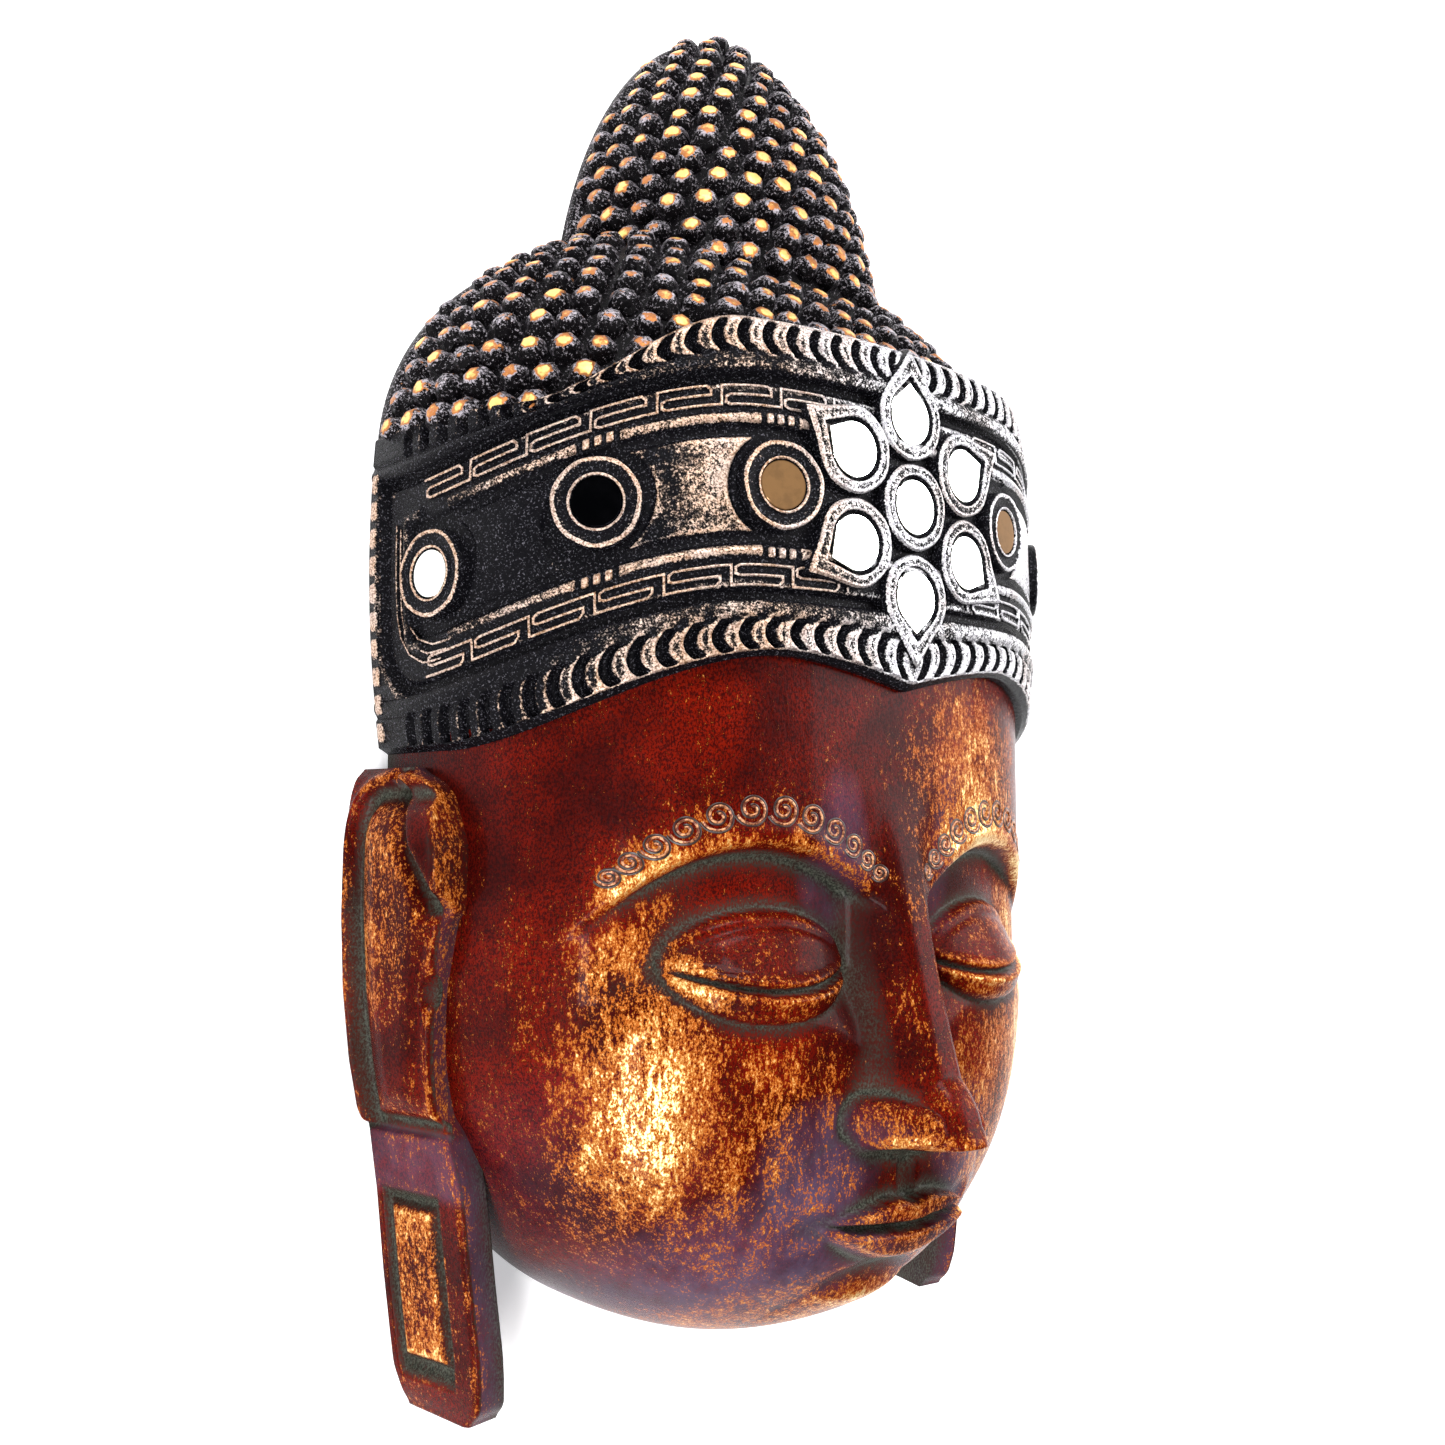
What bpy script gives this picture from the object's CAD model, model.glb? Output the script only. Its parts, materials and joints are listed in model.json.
# %% [markdown]
# # A carved Buddha mask with mirror inlays
# The object is a wall mask, about half a metre tall, carved from one piece of light wood. The face is
# lacquered red-brown and rubbed with gold, the crown band is black with silver rubbed over its high
# carving, and thirteen small mirrors are set in wooden dishes on the band. We start by loading the
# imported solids, so that everything made here shares their frame and their size.

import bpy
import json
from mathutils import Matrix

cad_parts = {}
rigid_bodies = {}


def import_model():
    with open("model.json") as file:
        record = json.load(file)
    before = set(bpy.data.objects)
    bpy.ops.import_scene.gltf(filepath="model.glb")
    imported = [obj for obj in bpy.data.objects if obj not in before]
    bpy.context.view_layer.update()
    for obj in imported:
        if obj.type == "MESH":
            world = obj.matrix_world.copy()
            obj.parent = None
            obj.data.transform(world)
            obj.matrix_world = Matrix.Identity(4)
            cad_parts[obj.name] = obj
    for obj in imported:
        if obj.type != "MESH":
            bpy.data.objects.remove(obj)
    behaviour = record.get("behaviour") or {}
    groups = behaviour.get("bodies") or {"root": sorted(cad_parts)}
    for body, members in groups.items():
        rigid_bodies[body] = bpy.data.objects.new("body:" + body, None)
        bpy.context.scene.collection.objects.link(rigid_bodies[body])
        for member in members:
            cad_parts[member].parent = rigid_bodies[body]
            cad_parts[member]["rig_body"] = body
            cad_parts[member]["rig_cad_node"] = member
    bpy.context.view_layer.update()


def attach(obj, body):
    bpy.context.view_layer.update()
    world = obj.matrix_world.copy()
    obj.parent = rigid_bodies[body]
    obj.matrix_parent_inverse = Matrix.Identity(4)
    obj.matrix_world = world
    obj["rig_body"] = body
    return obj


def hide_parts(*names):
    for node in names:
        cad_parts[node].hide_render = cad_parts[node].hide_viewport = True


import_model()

# %% [markdown]
# ## The mask's own measures
# The carving is drawn in fiftieths of the mask's height, which are centimetres here because the mask
# is 50 cm tall. The same measures shaped the solids, so the fine surfaces lie on them.

# %% Measures and small helpers
import json
from math import cos, pi, sin

import bpy
import numpy as np
from mathutils import Matrix, Vector

CM = 0.01
BAND_WIDTH = 27.2
BAND_DEPTH = 12.1
CHIN_Y = -24.2
TOP_Y = 25.0
SQUARENESS = 2.4  # the power of the head's squared ovals, 2 for plain ones
LOWEST = 0.02  # the carved surfaces end this little above the flat back


def smooth(low, high, value):
    """0 below low, 1 above high, and an even curve between."""
    part = np.clip((np.asarray(value, float) - low) / (high - low), 0, 1)
    return part * part * (3 - 2 * part)


def fade(low, high, value):
    """1 below low, 0 above high."""
    return 1 - smooth(low, high, value)


def ridge(distance, width):
    """A rounded ridge: 1 where the distance is 0, and next to nothing two widths away."""
    return np.exp(-((distance / width) ** 2))


def places(x, y, z):
    """Points from three fields of numbers, each spread to the shape of all three."""
    return np.stack(np.broadcast_arrays(x, y, z), -1)


def unit(vectors):
    """The same directions with the length 1."""
    return vectors / np.linalg.norm(vectors, axis=-1, keepdims=True)


def oval(angle, half_width, depth):
    """Distance from the mask's axis to a squared oval, for an angle from straight ahead."""
    across = np.abs(np.sin(angle)) / half_width
    ahead = np.abs(np.cos(angle)) / depth
    return (across**SQUARENESS + ahead**SQUARENESS) ** (-1 / SQUARENESS)


def soften(field, reach):
    """The field averaged over a square of grid points, twice, to find what stands out of it."""
    for axis in (0, 1, 0, 1):
        pad = [(0, 0), (0, 0)]
        pad[axis] = (reach + 1, reach)
        total = np.cumsum(np.pad(field, pad, mode="edge"), axis=axis)
        high = np.take(total, range(2 * reach + 1, total.shape[axis]), axis=axis)
        low = np.take(total, range(total.shape[axis] - 2 * reach - 1), axis=axis)
        field = (high - low) / (2 * reach + 1)
    return field


# %% [markdown]
# ## Surfaces from grids
# A carved surface is easiest to make as a grid of points: the grid follows the form, and the carving
# is a height added to it. Each point also keeps a few marks, such as how much it stands out of its
# surroundings, which the finishes read later to know where the gold and the silver are rubbed off.

# %% Grid to mesh
def linked(name, data):
    """A new object in the scene."""
    made = bpy.data.objects.new(name, data)
    bpy.context.scene.collection.objects.link(made)
    return made


def carved_piece(name, points, faces, marks, finish, smooth_shading=True):
    """A mesh piece from points in centimetres, with its marks and its finish, riding on the mask."""
    mesh = bpy.data.meshes.new(name)
    mesh.from_pydata(np.asarray(points, float) * CM, [], faces)
    for word, values in marks.items():
        layer = mesh.attributes.new(word, "FLOAT", "POINT")
        layer.data.foreach_set("value", np.asarray(values, np.float32).ravel())
    mesh.materials.append(finish)
    if smooth_shading:
        mesh.shade_smooth()
    piece = linked(name, mesh)
    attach(piece, "root")
    print(name, len(mesh.polygons), "faces")
    return piece


def grid_faces(rows, columns, start=0, turned=False, closed=False):
    """The four-sided faces of a grid of points, closed to a tube along its columns if asked."""
    index = start + np.arange(rows * columns).reshape(rows, columns)
    if closed:
        index = np.hstack([index, index[:, :1]])
    a, b, c, d = index[:-1, :-1], index[:-1, 1:], index[1:, 1:], index[1:, :-1]
    order = (a, d, c, b) if turned else (a, b, c, d)
    return np.stack(order, -1).reshape(-1, 4).tolist()


def carved_sheet(name, points, marks, finish, turned=False):
    """A piece from one grid of points."""
    faces = grid_faces(*points.shape[:2], turned=turned)
    return carved_piece(name, points.reshape(-1, 3), faces, marks, finish)


def gathered(name, grids, finish, closed=False, mark=None):
    """One piece from many grids, each with its values of the mark; closed grids are tubes."""
    points, faces, marks, start = [], [], [], 0
    for grid, values in grids:
        rows, columns = grid.shape[:2]
        points.append(grid.reshape(-1, 3))
        faces += grid_faces(rows, columns, start, closed=closed)
        marks.append(np.broadcast_to(values, (rows, columns)).ravel())
        start += rows * columns
    words = {mark: np.concatenate(marks)} if mark else {}
    return carved_piece(name, np.concatenate(points), faces, words, finish)


# %% [markdown]
# ## Finishes
# Old carved masks are painted dark first. Then metal paint or gold is rubbed over the high places with
# a dry cloth, so the metal sits on edges and bumps, breaks up in specks, and never reaches the
# grooves. Each finish below is built the same way: a dark ground, a speckled metal layer that follows
# the marks kept with the mesh, and a fine bump. It could be painted as an image, but a procedural
# finish stays sharp at any distance.

# %% Finish helpers
class Brush:
    """Adds shader nodes to one new material, or to a world, and links them by plain calls."""

    def __init__(self, name, kind="materials", shader="Principled BSDF", place="Object"):
        self.block = getattr(bpy.data, kind).new(name)
        self.block.use_nodes = True
        self.tree = self.block.node_tree
        self.shader = self.tree.nodes[shader]
        self.place = self.node("TexCoord", {}, output=place)

    def put(self, socket, value):
        if isinstance(value, bpy.types.NodeSocket):
            self.tree.links.new(value, socket)
        elif socket.type == "RGBA" and len(value) == 3:
            socket.default_value = (*value, 1)
        else:
            socket.default_value = value

    def node(self, kind, inputs, output=0, **settings):
        made = self.tree.nodes.new("ShaderNode" + kind)
        for word, value in settings.items():
            setattr(made, word, value)
        for key, value in inputs.items():
            self.put(made.inputs[key], value)
        return made.outputs[output]

    def mark(self, word):
        return self.node("Attribute", {}, output="Fac", attribute_name=word)

    def math(self, operation, a, b=0.0):
        return self.node("Math", {0: a, 1: b}, operation=operation)

    def add_up(self, start, *shares):
        """The first field plus each other one times its share."""
        for field, share in shares:
            start = self.node("Math", {0: field, 1: share, 2: start}, operation="MULTIPLY_ADD")
        return start

    def noise(self, per_cm, detail=3.0, rough=0.55, stretch=(1, 1, 1)):
        scaled = self.node("Mapping", {"Vector": self.place,
                                       "Scale": tuple(100 * per_cm * s for s in stretch)})
        return self.node("TexNoise", {"Vector": scaled, "Scale": 1.0, "Detail": detail,
                                      "Roughness": rough}, output="Fac")

    def ramp(self, value, low, high, to_low=0.0, to_high=1.0):
        return self.node("MapRange", {"Value": value, "From Min": low, "From Max": high,
                                      "To Min": to_low, "To Max": to_high},
                         interpolation_type="SMOOTHSTEP")

    def blend(self, factor, a, b):
        made = self.tree.nodes.new("ShaderNodeMix")
        made.data_type = "RGBA"
        self.put(made.inputs["Factor"], factor)
        colours = [s for s in made.inputs if s.type == "RGBA"]
        self.put(colours[0], a)
        self.put(colours[1], b)
        return next(s for s in made.outputs if s.type == "RGBA")

    def finish(self, **sockets):
        for word, value in sockets.items():
            self.put(self.shader.inputs[word.replace("_", " ")], value)
        return self.block

    def bump(self, height, strength, distance=0.0006):
        return self.node("Bump", {"Height": height, "Strength": strength,
                                  "Distance": distance}, output="Normal")


# %% [markdown]
# ### Red lacquer rubbed with gold
# The face, ears and lobes have a deep red-brown lacquer. Gold lies over it in worn, mottled patches:
# dense on the cheeks and chin, a scatter of specks elsewhere, and a grey-green wash has settled in the
# recesses. Two large noises place the patches and two fine ones, which count for more, break them
# into grains. The gold has two coats: a thin one, orange over the red, and a thick yellow one.

# %% Lacquer finish
def lacquer_finish():
    brush = Brush("red_lacquer_and_gold")
    cloud = brush.noise(0.22, 4.0)
    drift = brush.noise(0.9, 5.0, 0.65, (1.3, 0.6, 1.3))
    speck = brush.noise(5.0, 5.0, 0.75, (1.3, 0.55, 1.3))
    grain = brush.noise(13.0, 3.0, 0.7, (1.2, 0.8, 1.2))
    red = brush.blend(brush.ramp(cloud, 0.35, 0.65), (0.040, 0.0018, 0.0010),
                      (0.150, 0.0055, 0.0014))
    red = brush.blend(brush.ramp(grain, 0.42, 0.58, 0.0, 0.9), red, (0.014, 0.0012, 0.0012))
    plum = brush.math("MULTIPLY", brush.mark("plum"), brush.ramp(drift, 0.30, 0.60, 0.45, 1.0))
    red = brush.blend(plum, red, (0.080, 0.054, 0.098))
    wash = brush.math("MULTIPLY", brush.mark("recess"), brush.ramp(speck, 0.2, 0.6, 0.75, 1.0))
    dried = brush.blend(brush.ramp(grain, 0.4, 0.65), (0.016, 0.018, 0.014), (0.075, 0.080, 0.062))
    ground = brush.blend(wash, red, dried)

    level = brush.add_up(brush.mark("gold"), (drift, 0.70), (cloud, 0.30), (speck, 1.25),
                         (grain, 1.15), (wash, -0.22))
    thin = brush.ramp(level, 1.79, 1.90)
    thick = brush.ramp(level, 1.95, 2.12)
    tone = brush.blend(thick, (0.36, 0.085, 0.010), (0.76, 0.40, 0.10))
    tone = brush.blend(brush.ramp(level, 2.08, 2.26), tone, (0.95, 0.74, 0.38))
    colour = brush.blend(thin, ground, tone)
    metal = brush.math("MULTIPLY", thick, 0.85)
    rough = brush.ramp(thin, 0, 1, 0.22, 0.30)
    height = brush.add_up(speck, (thick, 0.6))
    return brush.finish(Base_Color=colour, Metallic=metal, Roughness=rough, Specular_IOR_Level=0.03,
                        Coat_Weight=0.03, Coat_Roughness=0.08, Normal=brush.bump(height, 0.5))


LACQUER = lacquer_finish()


# %% [markdown]
# ### Black with rubbed silver
# The band's ground is nearly black. The silver is warmer, almost bronze, on the left and whiter on the
# right, as on the real mask, so its tone follows the X coordinate, and the band's left end is less
# rubbed.

# %% Band finish
def band_finish(name):
    brush = Brush(name)
    speck = brush.noise(5.0, 5.0, 0.75)
    grain = brush.noise(14.0, 3.0, 0.7)
    cloud = brush.noise(0.45, 3.0)
    ground = brush.blend(brush.ramp(grain, 0.56, 0.70), (0.0030, 0.0030, 0.0040),
                         (0.110, 0.105, 0.125))
    across = brush.node("SeparateXYZ", {"Vector": brush.place}, output="X")
    side = brush.math("ADD", brush.ramp(across, -0.075, 0.0),
                      brush.ramp(cloud, 0.35, 0.65, -0.25, 0.25))
    warm = brush.blend(brush.ramp(grain, 0.4, 0.6), (0.24, 0.125, 0.065), (0.74, 0.54, 0.42))
    white = brush.blend(brush.ramp(grain, 0.40, 0.6), (0.22, 0.21, 0.24), (0.80, 0.79, 0.81))
    tone = brush.blend(side, warm, white)
    level = brush.add_up(brush.mark("worn"), (speck, 0.60), (grain, 0.55), (cloud, 0.30))
    level = brush.math("ADD", level, brush.ramp(across, -0.13, -0.03, -0.04, 0.015))
    silver = brush.ramp(level, 1.15, 1.29)
    colour = brush.blend(silver, ground, tone)
    height = brush.add_up(speck, (silver, 0.35))
    return brush.finish(Base_Color=colour, Metallic=brush.math("MULTIPLY", silver, 0.8),
                        Roughness=brush.ramp(silver, 0, 1, 0.18, 0.30), Specular_IOR_Level=0.04,
                        Normal=brush.bump(height, 0.7))


BAND = band_finish("black_and_rubbed_silver")


# %% [markdown]
# ### Black hair with bronze tips
# Each knob of the hair is black, and only its blunt tip is rubbed bright. Pale dust clings to the upper
# side of each knob. The mark called tip is high on the knobs' ends, a little above 0 on their upper
# sides and below 0 under them, so one mark places both the dust and the bronze. A coarse noise chips
# the tips, so that no two are rubbed alike.

# %% Hair finish
def hair_finish():
    brush = Brush("black_hair_and_bronze")
    speck = brush.noise(8.0, 4.0, 0.75)
    grain = brush.noise(10.0, 4.0, 0.8)
    cloud = brush.noise(0.6, 3.0)
    tip = brush.mark("tip")
    dust = brush.add_up(grain, (tip, 0.26))
    ground = brush.blend(brush.ramp(dust, 0.54, 0.62), (0.0028, 0.0024, 0.0030), (0.40, 0.37, 0.41))
    chips = brush.noise(2.6, 2.0, 0.6)
    level = brush.add_up(tip, (chips, 1.30), (speck, 0.45), (grain, 0.35), (cloud, 0.25))
    bronze = brush.ramp(level, 1.50, 1.60)
    tone = brush.blend(brush.ramp(level, 1.74, 1.98), (0.42, 0.160, 0.050), (0.92, 0.62, 0.20))
    colour = brush.blend(bronze, ground, tone)
    return brush.finish(Base_Color=colour, Metallic=brush.math("MULTIPLY", bronze, 0.6),
                        Roughness=0.32, Specular_IOR_Level=0.04, Normal=brush.bump(speck, 0.5))


HAIR = hair_finish()


# %% [markdown]
# ### Mirror glass and bare wood
# The mirrors are cut from thin silvered glass with a faint green tint. On each side the first round one
# is backed with brown and the second with black. The back of the mask, which faces the wall, is plain
# stained wood with the grain running up the head.

# %% Mirror and back finishes
def mirror_finish(name, clear, clouded, metal=1.0):
    brush = Brush(name)
    film = brush.noise(1.6, 5.0, 0.65)
    colour = brush.blend(brush.ramp(film, 0.45, 0.68, 0.0, 0.5), clear, clouded)
    return brush.finish(Base_Color=colour, Metallic=metal,
                        Roughness=brush.ramp(film, 0.4, 0.7, 0.04, 0.14))


def back_finish():
    brush = Brush("stained_back_wood")
    grain = brush.noise(2.4, 6.0, 0.6, (3.0, 0.12, 3.0))
    pores = brush.noise(9.0, 3.0, 0.6, (1.0, 0.08, 1.0))
    colour = brush.blend(grain, (0.045, 0.022, 0.012), (0.15, 0.078, 0.040))
    colour = brush.blend(brush.ramp(pores, 0.58, 0.72, 0.0, 0.7), colour, (0.018, 0.009, 0.006))
    return brush.finish(Base_Color=colour, Roughness=0.62, Normal=brush.bump(grain, 0.4, 0.0008))


MIRROR = mirror_finish("mirror_glass", (0.93, 0.96, 0.94), (0.72, 0.78, 0.76))
BROWN_MIRROR = mirror_finish("brown_mirror_glass", (0.30, 0.165, 0.070), (0.17, 0.095, 0.045), 0.45)
BLACK_MIRROR = mirror_finish("black_mirror_glass", (0.012, 0.016, 0.024), (0.030, 0.034, 0.045))
BACK = back_finish()


# %% [markdown]
# ## The head's forms
# The head is a stack of squared ovals: the jaw narrows down to the chin, the hair cap rounds off above
# the band, and the knot rises out of it.

# %% Head forms
THIRD = -CHIN_Y / 3
BROW = CHIN_Y + 2 * THIRD
NOSE_BASE = CHIN_Y + THIRD
EYE = BROW - 0.27 * THIRD
MOUTH = NOSE_BASE - 0.34 * THIRD
EYE_MIDDLE = 5.1
EYE_HALF = 2.75
CAP_FOOT, CAP_HEIGHT = 6.0, 10.0
KNOT_FOOT, KNOT_HEIGHT = 10.0, 15.0


def face_drop(y):
    """Share of the way down from the eyes to the chin."""
    return np.clip((EYE - y) / (EYE - CHIN_Y), 0, 1)


def face_half_width(y):
    return 0.470 * BAND_WIDTH * (1 - face_drop(y) ** 2.15) ** 0.53


def face_depth(y):
    return 0.935 * BAND_DEPTH * (1 - face_drop(y) ** 3.8) ** 0.44


def cap_share(y):
    return np.clip((y - CAP_FOOT) / CAP_HEIGHT, 0, 1)


def cap_half_width(y):
    return 0.482 * BAND_WIDTH * np.sqrt(1 - cap_share(y) ** 2)


def cap_depth(y):
    return 0.84 * BAND_DEPTH * np.sqrt(1 - cap_share(y) ** 2)


def knot_share(y):
    return np.clip((y - KNOT_FOOT) / KNOT_HEIGHT, 0, 1)


def knot_half_width(y):
    return 0.232 * BAND_WIDTH * (1 - knot_share(y) ** 2.2) ** 0.667


def knot_depth(y):
    return 0.625 * BAND_DEPTH * (1 - knot_share(y) ** 1.8) ** 0.5


# %% [markdown]
# ## The face
# The face is calm and made of plain proportions: thirds from the hairline to the chin, one eye's width
# between the eyes. Its features are a height over the smooth head, built from soft bumps and ridges
# in the order of the comments below.

# %% Face carving
def bump(x, y, middle_x, middle_y, half_x, half_y, power=1.0):
    """A round swelling, 1 at its middle and 0 at its rim."""
    reach = ((x - middle_x) / half_x) ** 2 + ((y - middle_y) / half_y) ** 2
    return np.clip(1 - reach, 0, 1) ** power


def brow_line(side):
    """The height of the brow, an arch over the middle of each eye."""
    return BROW + 1.45 - 2.35 * ((side - 5.4) / 4.9) ** 2


def face_relief(x, y):
    """The height of the face's features over the smooth head."""
    side = np.abs(x)
    under = brow_line(side) - y
    # eye sockets under the brows, and the brows' own soft rib
    socket = smooth(0.0, 0.55, under) * fade(2.6, 5.6 - 0.9 * smooth(6, 9, side), under)
    socket = socket * smooth(0.9, 2.2, side) * fade(7.0, 11.4, side)
    out = -0.95 * socket
    brow_ends = smooth(0.7, 2.2, side) * fade(8.6, 10.2, side)
    out = out + 0.10 * ridge(under + 0.28, 0.30) * brow_ends
    # lowered lids over the eyeballs, with a crease above and a slit below
    ball = bump(side, y, EYE_MIDDLE, EYE - 0.25, EYE_HALF + 0.35, 1.75, 0.5)
    out = out + 0.95 * ball
    along = (side - EYE_MIDDLE) / EYE_HALF
    slit = EYE - 0.95 + 0.50 * along**2 + 0.06 * along
    on_eye = fade(0.92, 1.16, np.abs(along))
    out = out - 0.34 * ridge(y - slit, 0.10) * on_eye
    out = out + 0.10 * ridge(y - slit - 0.26, 0.16) * on_eye
    out = out + 0.13 * ridge(y - slit + 0.28, 0.17) * on_eye
    crease = EYE + 1.02 - 0.80 * along**2
    out = out - 0.10 * ridge(y - crease, 0.12) * fade(0.85, 1.2, np.abs(along))
    # nose: bridge, sides, wings and tip
    down = np.clip((BROW + 0.2 - y) / (BROW + 0.2 - NOSE_BASE), 0, 1)
    bridge = (0.55 + 2.15 * down**1.25) * smooth(BROW + 3.6, BROW - 0.8, y)
    under_nose = smooth(NOSE_BASE - 0.42, NOSE_BASE + 0.10, y)
    half = 0.95 + 0.75 * down**2
    out = out + bridge * under_nose * np.exp(-np.abs(side / half) ** 3.2)
    out = out + 0.80 * bump(side, y, 1.72, NOSE_BASE + 0.72, 0.92, 0.86, 0.8)
    round_wing = np.hypot((side - 1.62) / 1.05, (y - NOSE_BASE - 0.70) / 0.98) - 1.0
    out = out - 0.10 * ridge(round_wing, 0.12) * smooth(1.9, 2.4, side)
    out = out + 0.55 * bump(x, y, 0, NOSE_BASE + 0.72, 1.35, 1.4, 0.9)
    out = out - 0.30 * bump(side, y, 1.15, NOSE_BASE - 0.12, 0.55, 0.26, 0.7)
    # mouth: the lips' soft mound, the groove under the nose, two lips and the line between them
    out = out + 0.55 * bump(x, y, 0, MOUTH, 5.2, 3.4, 0.8)
    out = out - 0.24 * bump(x, y, 0, NOSE_BASE - 1.15, 0.50, 1.0)
    upper_edge = MOUTH + 1.05 - 0.075 * side**2 - 0.24 * ridge(side, 0.45)
    parting = MOUTH + 0.03 * side**2 - 0.06 * ridge(side, 0.6)
    upper = smooth(0, 0.22, upper_edge - y) * smooth(-0.02, 0.28, y - parting)
    out = out + 0.72 * upper * fade(2.7, 3.7, side)
    lower_edge = MOUTH - 1.35 + 0.13 * side**2
    lower = smooth(0, 0.42, y - lower_edge) * smooth(-0.02, 0.28, parting - y)
    out = out + 0.85 * lower * fade(2.4, 3.4, side)
    out = out - 0.20 * bump(side, y, 3.40, MOUTH + 0.20, 0.8, 0.6)
    out = out - 0.35 * bump(x, y, 0, MOUTH - 2.0, 2.4, 0.8)
    # chin and cheeks
    out = out + 0.65 * bump(x, y, 0, MOUTH - 3.4, 2.7, 1.9)
    return out + 0.12 * bump(side, y, 7.0, NOSE_BASE + 1.6, 4.2, 4.4)


def face_front(y, angle):
    """How much of the relief shows: all of it in front, none at the sides or under the chin."""
    return smooth(0.15, 0.5, np.cos(angle)) * smooth(0, 3.0, y - CHIN_Y)


# %% Face surface
def make_face():
    share = np.linspace(-1, 1, 341)
    angle = ((0.64 * share + 0.36 * share**3) * pi / 2)[None, :]
    steps = np.concatenate([np.linspace(0, 0.93, 252)[:-1],
                            0.93 + 0.07 * np.sin(np.linspace(0, 1, 38) * pi / 2)])
    y = (0.3 + (CHIN_Y - 0.3) * steps)[:, None]
    width = np.maximum(face_half_width(y), 1e-5)
    depth = np.maximum(face_depth(y), 1e-5)
    radius = oval(angle, width, depth)
    x, z = radius * np.sin(angle), radius * np.cos(angle)
    relief = face_relief(x, y) * face_front(y, angle)
    z = np.maximum(z + relief, LOWEST)
    stands_out = relief - soften(relief, 7)
    fine = relief - soften(relief, 3)
    side = np.abs(x)
    # gold: cheekbones, lower cheeks, chin, the forehead's right, the brows, and all that stands out
    gold = -0.17 + 0.36 * bump(side, y, 8.8, -12.6, 2.1, 6.6, 0.7)
    gold = gold + 0.19 * bump(side, y, 5.6, -16.4, 4.6, 4.4, 0.6)
    gold = gold + 0.30 * bump(x, y, 0, -22.6, 6.6, 2.8, 0.6)
    gold = gold + 0.30 * bump(x, y, 3.6, -4.4, 4.6, 3.6, 0.6)
    gold = gold + 0.17 * ridge(y - brow_line(side) - 0.8, 1.0) * (side < 10)
    gold = gold + 0.09 * smooth(1.0, 5, x) + 0.08 * smooth(-6, -12, y)
    gold = gold + np.clip(stands_out * 0.12 + fine * 1.3, -0.25, 0.24)
    recess = np.clip(-stands_out * 1.1 - fine * 4.5 - 0.06, 0, 1)
    recess = np.clip(recess + 0.9 * fade(0.0, 1.0, z), 0, 1)
    plum = 0.9 * bump(side, y, 4.6, -20.2, 4.2, 3.4) + 0.7 * bump(side, y, 3.4, -16.6, 2.4, 2.2)
    plum = plum + 0.12 * bump(side, y, 9.5, -17.5, 3.0, 5.0)
    plum = plum + 0.5 * bump(side, y, 2.6, -7.0, 1.2, 3.0)
    marks = {"gold": gold, "recess": recess, "plum": np.clip(plum, 0, 1)}
    carved_sheet("face", places(x, y, z), marks, LACQUER)


make_face()


# %% [markdown]
# ### Incised curls over the brows
# A row of small spirals stands above each brow, largest over the middle of the eye. Their lines have
# been rubbed orange. Cutting them into the face's grid would need points a tenth of a millimetre
# apart, so each is a thin thread laid half into the surface, with a dark line beside it.

# %% Brow curls
def face_height(x, y):
    """The height of the finished face over a place drawn from the front."""
    share = np.clip(np.abs(x) / face_half_width(y), 0, 0.999) ** SQUARENESS
    z = face_depth(y) * (1 - share) ** (1 / SQUARENESS)
    return z + face_relief(x, y) * face_front(y, np.arctan2(x, z))


def thread_tube(path, radius, sides=6):
    """The rings of points of a thin tube along a path."""
    ahead = unit(np.gradient(path, axis=0))
    across = unit(np.cross(ahead, (0, 0, 1.0)))
    above = np.cross(across, ahead)
    turns = np.linspace(0, 2 * pi, sides, endpoint=False)[None, :, None]
    return path[:, None] + radius * (np.cos(turns) * across[:, None] + np.sin(turns) * above[:, None])


def line_finish(name, low, high, metal):
    """A speckled finish between two colours, for the threads over the brows."""
    brush = Brush(name)
    speck = brush.noise(9.0, 3.0, 0.7)
    colour = brush.blend(brush.ramp(speck, 0.42, 0.60), low, high)
    return brush.finish(Base_Color=colour, Metallic=metal, Roughness=0.36, Coat_Weight=0.2,
                        Coat_Roughness=0.2)


CUT_LINE = line_finish("dark_cut_line", (0.010, 0.004, 0.003), (0.030, 0.006, 0.004), 0.0)
RUBBED_LINE = line_finish("orange_rubbed_line", (0.11, 0.016, 0.006), (0.60, 0.27, 0.12), 0.4)


CURLS = 12


def make_curls():
    """Two rows of spirals, each a light thread with a dark one beside it."""
    light, dark = [], []
    for side in (-1, 1):
        place = 0.95
        for number in range(CURLS):
            size = 0.24 + 0.30 * sin(pi * (number + 0.7) / (CURLS + 0.4)) ** 1.3
            steep = np.hypot(1, 0.196 * (place - 5.4))
            place += size / steep
            turn = np.linspace(0, 3.5 * pi, 52)
            reach = size * (0.10 + 0.84 * turn / turn[-1])
            middle_y = brow_line(place) + 0.45 + size
            for shift, lift, radius, tubes in ((0, 0.008, 0.045, light),
                                               (0.075, -0.012, 0.040, dark)):
                spread = reach + shift
                x = side * (place + spread * np.cos(turn + 1.2))
                y = middle_y + spread * np.sin(turn + 1.2)
                path = np.c_[x, y, face_height(x, y) + lift]
                tubes.append((thread_tube(path, radius), 0.0))
            place += size * 0.98 / steep
    gathered("brow_curls", light, RUBBED_LINE, closed=True)
    gathered("brow_curl_shadows", dark, CUT_LINE, closed=True)


make_curls()

# %% [markdown]
# ## The crown band
# The band wraps the brow as a wide belt. Everything on it follows two numbers: the distance along the
# belt from the middle of the front, and the offset above or below its middle line. A grid in those two
# numbers makes the panels, lines and grooves, and the same grid carries the marks for the silver.

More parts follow.
